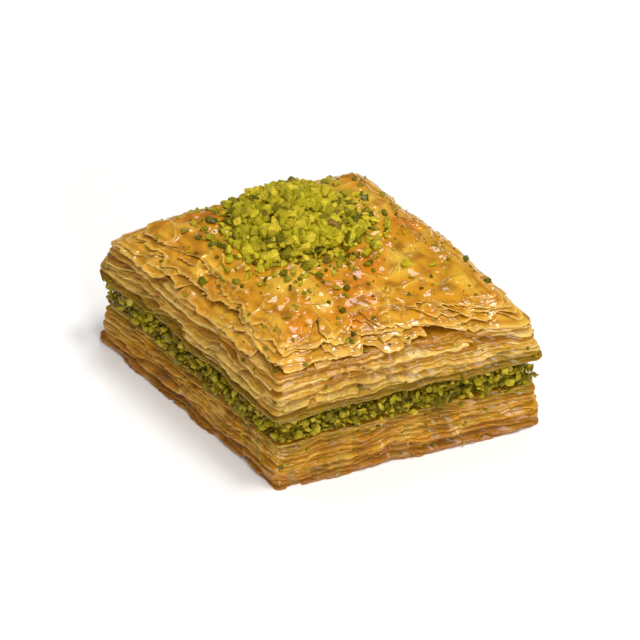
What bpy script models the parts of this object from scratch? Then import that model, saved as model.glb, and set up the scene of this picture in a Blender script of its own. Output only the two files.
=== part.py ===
"""One diamond of baklava, as it is cut in the round tray.

A lower stack of syrup-soaked phyllo carries a layer of ground pistachio, and an upper stack of crisp phyllo
lies on that. The upper stack swells in the middle and bends down to the four cuts, where its sheets end in
ragged steps. A small heap of ground pistachio lies on the crust, off the middle, with loose crumbs round it.

Lengths are in metres and +Z is up. The origin is the middle of the flat base, and +X runs along the long
diagonal.
"""

import math
import random

import bmesh
import bpy
from mathutils import Matrix, Vector, noise

MM = 0.001

# The diamond, measured at its base
LONG_DIAGONAL = 70.0 * MM
SHORT_DIAGONAL = 49.0 * MM
TIP_RADIUS = 1.3 * MM

# Heights
LOWER_HEIGHT = 8.5 * MM
FILLING_HEIGHT = 4.6 * MM
CRUST_EDGE_HEIGHT = 21.8 * MM
CRUST_MIDDLE_HEIGHT = 26.6 * MM
NODE_GAP = 0.3 * MM

# How the stacks end at the cuts
LOWER_SHEETS = 5
UPPER_SHEETS = 8
LOWER_TAPER = 0.8 * MM
UPPER_TAPER = 3.0 * MM
SHEET_STEP = 0.7 * MM
SHEET_STEP_SPREAD = 0.45 * MM
SHEET_LIP = 0.22 * MM
RAGGEDNESS = 0.9 * MM
RAGGED_SPACING = 3.2 * MM
EDGE_WAVE = 0.35 * MM
EDGE_WAVE_SPACING = 9.0 * MM

# How the crust swells from the cuts to the middle
SHOULDER_REACH = 6.2 * MM
CRUST_WRINKLE = 0.35 * MM
WRINKLE_SPACING = 4.5 * MM
RIDGE_SOFTENING = 2.5 * MM
CRUST_RINGS = (0.9 * MM, 2.2 * MM, 4.0 * MM, 6.5 * MM, 10.0 * MM, 14.5 * MM)
TIP_DROOP = 1.6 * MM

# The pistachio
FILLING_RECESS = 0.8 * MM
FILLING_CRUMB = 2.2 * MM
FILLING_CRUMBS = 72
FILLING_BULGE = 0.4 * MM
HEAP_PLACE = Vector((-5.6 * MM, 5.0 * MM))
HEAP_RADII = (9.2 * MM, 8.0 * MM)
HEAP_HEIGHT = 4.4 * MM
HEAP_GRAIN = 2.5 * MM
HEAP_GRAINS = 62
HEAP_STEPS = 20
CRUST_CRUMB = 1.5 * MM
CRUST_CRUMBS = 96
CLEAR_OF_HEAP = 1.18

# How finely the outline is drawn
STEPS_PER_SIDE = 16
STEPS_PER_TIP = 3

HALF_LONG = LONG_DIAGONAL / 2
HALF_SHORT = SHORT_DIAGONAL / 2
HALF_ANGLE = math.atan2(HALF_SHORT, HALF_LONG)
# The distance from the middle to each of the four sides
APOTHEM = HALF_LONG * math.sin(HALF_ANGLE)
GOLDEN_ANGLE = math.pi * (3 - math.sqrt(5))

FILLING_FLOOR = LOWER_HEIGHT + NODE_GAP
FILLING_TOP = FILLING_FLOOR + FILLING_HEIGHT
UPPER_FLOOR = FILLING_TOP + NODE_GAP


def clear_scene():
    """Removes the objects that the scene opens with."""
    for thing in list(bpy.data.objects):
        bpy.data.objects.remove(thing)


def finish(name, colour, roughness):
    """A plain material of one colour."""
    material = bpy.data.materials.new(name)
    material.use_nodes = True
    shader = material.node_tree.nodes["Principled BSDF"]
    shader.inputs["Base Color"].default_value = (*colour, 1.0)
    shader.inputs["Roughness"].default_value = roughness
    shader.inputs["Metallic"].default_value = 0.0
    return material


def add_object(name, mesh, material):
    """Puts a finished mesh into the scene."""
    thing = bpy.data.objects.new(name, mesh)
    thing.data.materials.append(material)
    bpy.context.scene.collection.objects.link(thing)
    return thing


def tip_arc(tip, half_angle, facing):
    """The points that round one tip, turned so that the tip looks along the angle facing."""
    middle = tip * (1 - TIP_RADIUS / math.sin(half_angle) / tip.length)
    sweep = math.pi / 2 - half_angle
    turns = [facing + sweep * (2 * k / STEPS_PER_TIP - 1) for k in range(STEPS_PER_TIP + 1)]
    return [middle + TIP_RADIUS * Vector((math.cos(turn), math.sin(turn))) for turn in turns]


def cut_outline():
    """The diamond's outline at full size, anticlockwise, with its four tips rounded."""
    blunt_angle = math.pi / 2 - HALF_ANGLE
    tips = (
        (Vector((HALF_LONG, 0)), HALF_ANGLE, 0.0),
        (Vector((0, HALF_SHORT)), blunt_angle, math.pi / 2),
        (Vector((-HALF_LONG, 0)), HALF_ANGLE, math.pi),
        (Vector((0, -HALF_SHORT)), blunt_angle, -math.pi / 2),
    )
    arcs = [tip_arc(*tip) for tip in tips]
    points = []
    for arc, following in zip(arcs, arcs[1:] + arcs[:1]):
        points += arc
        points += [arc[-1].lerp(following[0], k / STEPS_PER_SIDE) for k in range(1, STEPS_PER_SIDE)]
    return points


def off_the_tips(point):
    """0 at the four tips and 1 along the sides, so that ragged edges keep the tips in place."""
    return min(1.0, 5 * min(abs(point.x) / HALF_LONG, abs(point.y) / HALF_SHORT))


def waver(point, layer, spacing):
    """A smooth random value from about -1 to 1, alike in neighbouring layers."""
    return noise.noise(Vector((point.x / spacing, point.y / spacing, layer)))


def distance_in(x, y):
    """How far a point lies inside the four cuts, with the ridges between the sides softened."""
    across = math.hypot(x, RIDGE_SOFTENING) - RIDGE_SOFTENING
    along = math.hypot(y, RIDGE_SOFTENING) - RIDGE_SOFTENING
    return APOTHEM * (1 - across / HALF_LONG - along / HALF_SHORT)


def crust_height(x, y):
    """The height of the crust: highest in the middle, lower at the cuts and lowest at the sharp tips."""
    inside = max(0.0, distance_in(x, y))
    swell = 1 - math.exp(-inside / SHOULDER_REACH)
    droop = TIP_DROOP * (abs(x) / HALF_LONG) ** 4
    wrinkle = CRUST_WRINKLE * waver(Vector((x, y)), 3.7, WRINKLE_SPACING) * swell
    return CRUST_EDGE_HEIGHT + (CRUST_MIDDLE_HEIGHT - CRUST_EDGE_HEIGHT) * swell - droop + wrinkle


def ring_of(outline, inset, layer, height):
    """One ragged turn round the stack. height is a number, or a function of the point's x and y."""
    points = []
    for point in outline:
        ragged = RAGGEDNESS * waver(point, layer, RAGGED_SPACING) * off_the_tips(point)
        place = point * (1 - (inset + ragged) / APOTHEM)
        level = height(place.x, place.y) if callable(height) else height
        points.append(Vector((place.x, place.y, level)))
    return points


def stack_rings(outline, floor, edge_height, sheets, taper, curve):
    """The sheets' edges as ragged steps: each sheet juts out at its upper edge over a groove below it.

    edge_height gives the height of the stack's upper edge at x and y. The inset grows to taper at the top,
    as the share of the height raised to the power curve.
    """

    def level_at(share):
        def level(x, y):
            wave = EDGE_WAVE * waver(Vector((x, y)), 20 + floor / MM, EDGE_WAVE_SPACING)
            return floor + (edge_height(x, y) - floor) * share + wave * math.sin(math.pi * share)

        return level

    lip = SHEET_LIP / (edge_height(0, 0) - floor)
    rings = []
    for sheet in range(sheets):
        low = sheet / sheets
        high = (sheet + 1) / sheets
        inset = taper * low**curve
        groove = SHEET_STEP + SHEET_STEP_SPREAD * math.sin(2.4 * sheet)
        rings.append(ring_of(outline, inset + groove, sheet, level_at(low + lip if sheet else low)))
        rings.append(ring_of(outline, inset, sheet, level_at(high)))
    return rings


def loft(name, rings):
    """A closed mesh through the rings, from the lowest to the last, each made by extruding the one before."""
    work = bmesh.new()
    lid = work.faces.new([work.verts.new(point) for point in rings[0]])
    for points in rings[1:]:
        made = bmesh.ops.extrude_discrete_faces(work, faces=[lid])["faces"]
        if points is rings[1]:
            work.faces.new(reversed([work.verts.new(point) for point in rings[0]]))
        lid = made[0]
        for corner, point in zip(lid.verts, points):
            corner.co = point
    bmesh.ops.remove_doubles(work, verts=work.verts, dist=0.001 * MM)
    bmesh.ops.triangulate(work, faces=[face for face in work.faces if len(face.verts) > 4])
    bmesh.ops.recalc_face_normals(work, faces=work.faces)
    mesh = bpy.data.meshes.new(name)
    work.to_mesh(mesh)
    work.free()
    return mesh


def crumb(group, place, length, draw, limits=None):
    """One angular crumb of nut in the collection group. limits clips its height to a band."""
    work = bmesh.new()
    bmesh.ops.create_icosphere(work, subdivisions=1, radius=0.5)
    shape = Matrix.Diagonal((length, length * draw.uniform(0.6, 0.85), length * draw.uniform(0.5, 0.75), 1.0))
    turn = Matrix.Rotation(draw.uniform(0, math.tau), 4, Vector((draw.uniform(-1, 1), draw.uniform(-1, 1), 1)))
    for corner in work.verts:
        corner.co = turn @ (shape @ (corner.co * draw.uniform(0.8, 1.15))) + place
        if limits:
            corner.co.z = min(max(corner.co.z, limits[0]), limits[1])
    mesh = bpy.data.meshes.new("crumb")
    work.to_mesh(mesh)
    work.free()
    group.objects.link(bpy.data.objects.new("crumb", mesh))


def drop_scraps(mesh):
    """Removes every loose piece but the one with the most faces."""
    work = bmesh.new()
    work.from_mesh(mesh)
    unseen = set(work.faces)
    pieces = []
    while unseen:
        piece = set()
        edge_of_piece = [unseen.pop()]
        while edge_of_piece:
            face = edge_of_piece.pop()
            piece.add(face)
            beside = {near for edge in face.edges for near in edge.link_faces} & unseen
            unseen -= beside
            edge_of_piece += beside
        pieces.append(piece)
    largest = max(pieces, key=len)
    loose = [face for piece in pieces if piece is not largest for face in piece]
    bmesh.ops.delete(work, geom=loose, context="FACES")
    work.to_mesh(mesh)
    work.free()


def fuse(body, group):
    """Joins the collection's pieces to the body, keeps the result and removes them."""
    joining = body.modifiers.new("join", "BOOLEAN")
    joining.operation = "UNION"
    joining.operand_type = "COLLECTION"
    joining.collection = group
    joining.solver = "MANIFOLD"
    graph = bpy.context.evaluated_depsgraph_get()
    joined = bpy.data.meshes.new_from_object(body.evaluated_get(graph))
    body.modifiers.remove(joining)
    drop_scraps(joined)
    body.data = joined
    for thing in list(group.objects):
        bpy.data.objects.remove(thing)
    bpy.data.collections.remove(group)


def new_group(name):
    """An empty collection in the scene, for pieces that are about to be joined."""
    group = bpy.data.collections.new(name)
    bpy.context.scene.collection.children.link(group)
    return group


def lower_phyllo(outline):
    """The flat-bottomed stack that the filling lies on."""
    rings = stack_rings(
        outline, 0.0, lambda x, y: LOWER_HEIGHT, LOWER_SHEETS, LOWER_TAPER, curve=1.0
    )
    rings[0] = [Vector((point.x, point.y, 0.0)) for point in outline]
    colour = finish("soaked_phyllo", (0.42, 0.20, 0.035), 0.35)
    return add_object("lower_phyllo", loft("lower_phyllo", rings), colour)


def pistachio_filling(outline):
    """The layer of ground nut between the stacks, with its crumbs standing out along the cuts."""
    inset = LOWER_TAPER + FILLING_RECESS
    floor, top = FILLING_FLOOR, FILLING_TOP
    middle = (floor + top) / 2
    rings = [
        ring_of(outline, inset + FILLING_BULGE, 40, floor),
        ring_of(outline, inset, 41, middle),
        ring_of(outline, inset + FILLING_BULGE, 42, top),
    ]
    colour = finish("ground_pistachio_filling", (0.22, 0.20, 0.03), 0.6)
    filling = add_object("pistachio_filling", loft("pistachio_filling", rings), colour)
    draw = random.Random(11)
    group = new_group("filling_crumbs")
    for k in range(FILLING_CRUMBS):
        along = (k + draw.uniform(0.2, 0.8)) / FILLING_CRUMBS * len(outline)
        before = outline[int(along)]
        after = outline[(int(along) + 1) % len(outline)]
        side = before.lerp(after, along % 1)
        place = side * (1 - (inset - draw.uniform(0.0, 0.3) * MM) / APOTHEM)
        rise = (0.24 if k % 2 else -0.24) + draw.uniform(-0.1, 0.1)
        crumb(
            group,
            Vector((place.x, place.y, middle + rise * FILLING_HEIGHT)),
            FILLING_CRUMB * draw.uniform(0.85, 1.3),
            draw,
            limits=(floor, top),
        )
    fuse(filling, group)
    return filling


def upper_phyllo(outline):
    """The crisp stack, its swollen crust and the crumbs that stick to the glaze."""
    rings = stack_rings(
        outline, UPPER_FLOOR, crust_height, UPPER_SHEETS, UPPER_TAPER, curve=1.8
    )
    rings += [
        ring_of(outline, UPPER_TAPER + inset, UPPER_SHEETS, crust_height) for inset in CRUST_RINGS
    ]
    colour = finish("glazed_phyllo", (0.60, 0.29, 0.035), 0.3)
    stack = add_object("upper_phyllo", loft("upper_phyllo", rings), colour)
    draw = random.Random(23)
    group = new_group("crust_crumbs")
    for turn in range(CRUST_CRUMBS):
        reach = math.sqrt((turn + 0.5) / CRUST_CRUMBS)
        angle = turn * GOLDEN_ANGLE
        spot = Vector((reach * HALF_LONG * math.cos(angle), reach * HALF_SHORT * math.sin(angle)))
        away = spot - HEAP_PLACE
        in_heap = math.hypot(away.x / HEAP_RADII[0], away.y / HEAP_RADII[1]) < CLEAR_OF_HEAP
        if in_heap or distance_in(spot.x, spot.y) < UPPER_TAPER + CRUST_RINGS[0]:
            continue
        length = CRUST_CRUMB * draw.uniform(0.75, 1.25)
        height = crust_height(spot.x, spot.y) + 0.15 * length
        crumb(group, Vector((spot.x, spot.y, height)), length, draw)
    fuse(stack, group)
    return stack


def heap_height(x, y):
    """How far the heap's core stands above the crust at a place given from the heap's middle."""
    share = min(1.0, math.hypot(x / HEAP_RADII[0], y / HEAP_RADII[1]))
    return HEAP_HEIGHT * (1 - share**2) ** 0.8


def heap_ring(share, lift):
    """One turn of the heap's core, at a share of its radius and lifted off the crust by lift(x, y)."""
    points = []
    for k in range(HEAP_STEPS):
        turn = math.tau * k / HEAP_STEPS
        x = HEAP_RADII[0] * share * math.cos(turn)
        y = HEAP_RADII[1] * share * math.sin(turn)
        ground = crust_height(HEAP_PLACE.x + x, HEAP_PLACE.y + y)
        points.append(Vector((HEAP_PLACE.x + x, HEAP_PLACE.y + y, ground + NODE_GAP + lift(x, y))))
    return points


def pistachio_heap():
    """The heap of ground pistachio: a low core that follows the crust, with the grains that show on it."""
    under = [heap_ring(share, lambda x, y: 0.0) for share in (0.08, 0.3, 0.55, 0.8)]
    over = [heap_ring(share, lambda x, y: 0.8 * heap_height(x, y)) for share in (0.93, 0.75, 0.5, 0.25, 0.06)]
    colour = finish("ground_pistachio", (0.32, 0.33, 0.035), 0.6)
    heap = add_object("pistachio_heap", loft("pistachio_heap", under + over), colour)
    draw = random.Random(37)
    group = new_group("heap_grains")
    for k in range(HEAP_GRAINS):
        share = math.sqrt((k + 0.5) / HEAP_GRAINS)
        x = HEAP_RADII[0] * share * math.cos(k * GOLDEN_ANGLE)
        y = HEAP_RADII[1] * share * math.sin(k * GOLDEN_ANGLE)
        length = HEAP_GRAIN * draw.uniform(0.8, 1.2)
        ground = crust_height(HEAP_PLACE.x + x, HEAP_PLACE.y + y) + NODE_GAP
        height = ground + max(0.3 * length, 0.85 * heap_height(x, y) + draw.uniform(-0.1, 0.3) * MM)
        place = Vector((HEAP_PLACE.x + x, HEAP_PLACE.y + y, height))
        crumb(group, place, length, draw, limits=(ground + 0.1 * MM, 1.0))
    fuse(heap, group)
    return heap


def main():
    """Builds the diamond from the base up."""
    clear_scene()
    outline = cut_outline()
    lower_phyllo(outline)
    pistachio_filling(outline)
    upper_phyllo(outline)
    pistachio_heap()


main()
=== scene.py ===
"""The looks of one baklava piece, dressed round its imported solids.

Two stacks of phyllo sheets enclose a layer of ground pistachio. Every sheet's cut edge is modelled, the
glazed crust is a sheet of its own with blisters and torn edges, and all nut is made of separate grains.

Lengths are in metres in the frame of the solids: +Z is up and +X runs along the long diagonal.
"""

import logging
import math
import random
from collections.abc import Callable
from dataclasses import dataclass, field, replace
from enum import Enum

import bmesh
import bpy
from mathutils import Matrix, Vector, noise
from mathutils.bvhtree import BVHTree


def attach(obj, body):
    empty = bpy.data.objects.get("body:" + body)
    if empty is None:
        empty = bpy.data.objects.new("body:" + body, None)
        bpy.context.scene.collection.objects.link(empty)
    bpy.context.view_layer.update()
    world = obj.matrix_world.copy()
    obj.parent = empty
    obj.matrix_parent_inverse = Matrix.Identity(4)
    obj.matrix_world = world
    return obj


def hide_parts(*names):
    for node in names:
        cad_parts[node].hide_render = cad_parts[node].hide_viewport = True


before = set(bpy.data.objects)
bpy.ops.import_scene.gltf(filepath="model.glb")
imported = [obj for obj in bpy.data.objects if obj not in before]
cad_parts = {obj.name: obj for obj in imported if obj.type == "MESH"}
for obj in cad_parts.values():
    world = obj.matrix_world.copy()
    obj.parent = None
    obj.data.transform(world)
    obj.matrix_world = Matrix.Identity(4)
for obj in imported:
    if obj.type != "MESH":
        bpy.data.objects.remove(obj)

LOG = logging.getLogger("baklava")

MM = 0.001
GOLDEN_ANGLE = math.pi * (3 - math.sqrt(5))
TINT = "tint"
SYRUP_IOR = 1.45
# How far red, green and blue light spread below the pastry's surface, as shares of a finish's glow_depth
WARM_GLOW = (1.0, 0.55, 0.2)
# Points closer than this are one
MERGE_DISTANCE = 0.002 * MM
# Crumbs fall onto the piece from this height
DROP_HEIGHT = 50 * MM

Colour = tuple[float, float, float]
Height = Callable[[float, float], float]


def linear(code: str) -> Colour:
    """The linear colour of an sRGB hex value.

    Args:
        code: Six hex digits, such as "cc8d22".

    Returns:
        Red, green and blue from 0 to 1, linear.
    """
    channels = (int(code[k : k + 2], 16) / 255 for k in (0, 2, 4))
    return tuple(c / 12.92 if c <= 0.04045 else ((c + 0.055) / 1.055) ** 2.4 for c in channels)


def blend(one: Colour, other: Colour, share: float) -> Colour:
    """A colour between two others.

    Args:
        one: The colour at share 0.
        other: The colour at share 1.
        share: Where to stand between them, clipped to 0 and 1.

    Returns:
        The blended colour.
    """
    share = min(1.0, max(0.0, share))
    return tuple(a + (b - a) * share for a, b in zip(one, other))


def smooth_step(value: float, low: float, high: float) -> float:
    """Rises smoothly from 0 at low to 1 at high.

    Args:
        value: Where to read the step.
        low: Where the step starts.
        high: Where the step ends.

    Returns:
        The step's height at value, from 0 to 1.
    """
    share = min(1.0, max(0.0, (value - low) / (high - low)))
    return share * share * (3 - 2 * share)


def waver(x: float, y: float, layer: float, spacing: float) -> float:
    """Smooth noise from about -1 to 1, whose swells lie about spacing apart; each layer has its own."""
    return noise.noise(Vector((x / spacing, y / spacing, layer)))


class Palette(Enum):
    """The colours of the pastry and the nut, as sRGB hex values."""

    AMBER = "ca8a14"
    ORANGE = "cc7a0e"
    PALE_GOLD = "e2b33c"
    SCORCHED = "7c4408"
    CREAM = "f0c86c"
    BUTTER = "dfa938"
    HONEY = "a56b0e"
    SOAKED = "9a6616"
    CRISP_BASE = "a06418"
    GREEN_SYRUP = "8c7616"
    LIME = "c0ae24"
    LEAF = "a09416"
    YELLOW = "dac03a"
    MOSS = "7e7510"
    OLIVE = "585008"
    SKIN = "6c4a2c"
    WET_GREEN = "4c5010"

    @property
    def colour(self) -> Colour:
        """The entry as a linear colour."""
        return linear(self.value)


# The finishes


def socket_of(sockets: bpy.types.bpy_prop_collection, key: str) -> bpy.types.NodeSocket:
    """The socket whose identifier or name is key."""
    return next(s for s in sockets if key in (s.identifier, s.name))


def add_node(
    tree: bpy.types.NodeTree,
    kind: str,
    settings: dict[str, object] | None = None,
    links: dict[str, bpy.types.NodeSocket] | None = None,
) -> bpy.types.Node:
    """Adds one node with its settings and links.

    Args:
        tree: The node tree of a material.
        kind: The node's type name.
        settings: Values by the name of a property or of an input socket.
        links: Output sockets of other nodes, by the name of the input that each feeds.

    Returns:
        The new node.
    """
    node = tree.nodes.new(kind)
    for key, value in (settings or {}).items():
        if hasattr(node, key):
            setattr(node, key, value)
        else:
            socket_of(node.inputs, key).default_value = value
    for key, source in (links or {}).items():
        tree.links.new(source, socket_of(node.inputs, key))
    return node


@dataclass(frozen=True)
class Finish:
    """A surface whose main colour comes from the mesh's tint, varied by fine patterns.

    Attributes:
        name: The real material and how it was made.
        roughness: Lowest and highest roughness over the surface.
        coat: Weight of the syrup film.
        coat_roughness: Roughness of the syrup film.
        glow: Weight of the light that spreads below the surface.
        glow_depth: How far that light spreads, in metres.
        mottle_size: Size of the colour flecks, in metres.
        mottle: How much the flecks darken the tint.
        relief_size: Size of the fine relief, in metres.
        relief: Depth of the fine relief, in metres.
        layering: How many times longer flecks and relief run level than upright, as thin sheets do.
    """

    name: str
    roughness: tuple[float, float]
    coat: float
    coat_roughness: float
    glow: float
    glow_depth: float
    mottle_size: float
    mottle: float
    relief_size: float
    relief: float
    layering: float = 1.0

    def material(self) -> bpy.types.Material:
        """Builds the material.

        Returns:
            A new material that reads the attribute TINT and Object coordinates.
        """
        made = bpy.data.materials.new(self.name)
        made.use_nodes = True
        tree = made.node_tree
        shader = tree.nodes["Principled BSDF"]
        place = add_node(tree, "ShaderNodeTexCoord").outputs["Object"]
        layered = add_node(
            tree, "ShaderNodeMapping", {"Scale": (1.0, 1.0, self.layering)}, {"Vector": place}
        ).outputs["Vector"]
        tint = add_node(tree, "ShaderNodeAttribute", {"attribute_name": TINT}).outputs["Color"]
        flecks = add_node(
            tree,
            "ShaderNodeTexNoise",
            {"Scale": 1 / self.mottle_size, "Detail": 5.0, "Roughness": 0.62},
            {"Vector": layered},
        ).outputs["Fac"]
        ramp = add_node(tree, "ShaderNodeValToRGB", links={"Fac": flecks})
        ramp.color_ramp.elements.new(0.5)
        dark = 1 - self.mottle
        stops = ((0.3, (dark, dark * 0.95, dark * 0.8)), (0.5, (1.0, 1.0, 1.0)), (0.72, (1.1, 1.12, 1.1)))
        for point, (position, shade) in zip(ramp.color_ramp.elements, stops):
            point.position = position
            point.color = (*shade, 1.0)
        varied = add_node(
            tree,
            "ShaderNodeMix",
            {"data_type": "RGBA", "blend_type": "MULTIPLY", "Factor_Float": 1.0},
            {"A_Color": tint, "B_Color": ramp.outputs["Color"]},
        )
        tree.links.new(socket_of(varied.outputs, "Result_Color"), shader.inputs["Base Color"])
        wetness = add_node(
            tree,
            "ShaderNodeTexNoise",
            {"Scale": 0.45 / self.mottle_size, "Detail": 3.0},
            {"Vector": place},
        ).outputs["Fac"]
        rough = add_node(
            tree,
            "ShaderNodeMapRange",
            {"From Min": 0.3, "From Max": 0.7, "To Min": self.roughness[0], "To Max": self.roughness[1]},
            {"Value": wetness},
        ).outputs["Result"]
        tree.links.new(rough, shader.inputs["Roughness"])
        grain = add_node(
            tree,
            "ShaderNodeTexNoise",
            {"Scale": 1 / self.relief_size, "Detail": 4.0, "Roughness": 0.6},
            {"Vector": layered},
        ).outputs["Fac"]
        bump = add_node(
            tree, "ShaderNodeBump", {"Strength": 1.0, "Distance": self.relief}, {"Height": grain}
        ).outputs["Normal"]
        tree.links.new(bump, shader.inputs["Normal"])
        shader.inputs["IOR"].default_value = SYRUP_IOR
        shader.inputs["Specular IOR Level"].default_value = 0.08
        shader.inputs["Coat Weight"].default_value = self.coat
        shader.inputs["Coat Roughness"].default_value = self.coat_roughness
        shader.inputs["Coat IOR"].default_value = SYRUP_IOR
        shader.inputs["Subsurface Weight"].default_value = self.glow
        shader.inputs["Subsurface Radius"].default_value = WARM_GLOW
        shader.inputs["Subsurface Scale"].default_value = self.glow_depth
        return made


# Baked phyllo under a film of sugar syrup: sharp highlights over warm, slightly translucent pastry
GLAZED_CRUST = Finish(
    name="glazed_baked_phyllo",
    roughness=(0.28, 0.55),
    coat=0.8,
    coat_roughness=0.06,
    glow=0.1,
    glow_depth=0.9 * MM,
    mottle_size=1.8 * MM,
    mottle=0.34,
    relief_size=0.6 * MM,
    relief=0.06 * MM,
)
# Cut edges of buttered phyllo with syrup between them: pale, lit through, with fine level lines and glints
CUT_SHEETS = Finish(
    name="buttered_phyllo_edges",
    roughness=(0.25, 0.5),
    coat=0.48,
    coat_roughness=0.14,
    glow=0.2,
    glow_depth=1.0 * MM,
    mottle_size=1.0 * MM,
    mottle=0.4,
    relief_size=0.8 * MM,
    relief=0.1 * MM,
    layering=7.0,
)
# Phyllo that stood in syrup: deeper golden, dense and shiny, with the same level lines
SOAKED_SHEETS = Finish(
    name="syrup_soaked_phyllo",
    roughness=(0.18, 0.42),
    coat=0.65,
    coat_roughness=0.12,
    glow=0.3,
    glow_depth=1.5 * MM,
    mottle_size=1.1 * MM,
    mottle=0.42,
    relief_size=0.8 * MM,
    relief=0.09 * MM,
    layering=6.0,
)
# Dry chopped pistachio: matt, with a mealy grain
DRY_NUT = Finish(
    name="chopped_pistachio",
    roughness=(0.45, 0.75),
    coat=0.08,
    coat_roughness=0.3,
    glow=0.15,
    glow_depth=0.7 * MM,
    mottle_size=0.5 * MM,
    mottle=0.3,
    relief_size=0.22 * MM,
    relief=0.04 * MM,
)
# Ground pistachio wetted by syrup: darker, with small sharp highlights
WET_NUT = replace(
    DRY_NUT,
    name="syrup_wet_pistachio",
    roughness=(0.25, 0.5),
    coat=0.18,
    coat_roughness=0.16,
)


# Meshes and pieces


def paint(work: bmesh.types.BMesh) -> bmesh.types.BMLayerItem:
    """The vertex colour layer of a mesh in the making, added where it has none."""
    layers = work.verts.layers.float_color
    return layers.get(TINT) or layers.new(TINT)


def close_up(work: bmesh.types.BMesh) -> None:
    """Joins the two ends of a wall that runs round the piece, and closes it above and below.

    Args:
        work: The mesh in the making.
    """
    bmesh.ops.remove_doubles(work, verts=work.verts, dist=MERGE_DISTANCE)
    bmesh.ops.holes_fill(work, edges=[e for e in work.edges if e.is_boundary], sides=0)
    bmesh.ops.triangulate(work, faces=[f for f in work.faces if len(f.verts) > 4])
    bmesh.ops.recalc_face_normals(work, faces=work.faces)


def add_piece(work: bmesh.types.BMesh, name: str, finish: Finish, smooth: bool) -> bpy.types.Object:
    """Turns a finished bmesh into a piece of the object.

    Args:
        work: The mesh, in the frame of the solids; it is freed.
        name: The piece's name.
        finish: What the surface is.
        smooth: Whether the faces are shaded smoothly.

    Returns:
        The new object, riding on the root body.
    """
    for face in work.faces:
        face.smooth = smooth
    mesh = bpy.data.meshes.new(name)
    work.to_mesh(mesh)
    work.free()
    made = bpy.data.materials.get(finish.name) or finish.material()
    mesh.materials.append(made)
    piece = bpy.data.objects.new(name, mesh)
    bpy.context.scene.collection.objects.link(piece)
    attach(piece, "root")
    LOG.info("%s: %d faces", name, len(mesh.polygons))
    return piece


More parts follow.
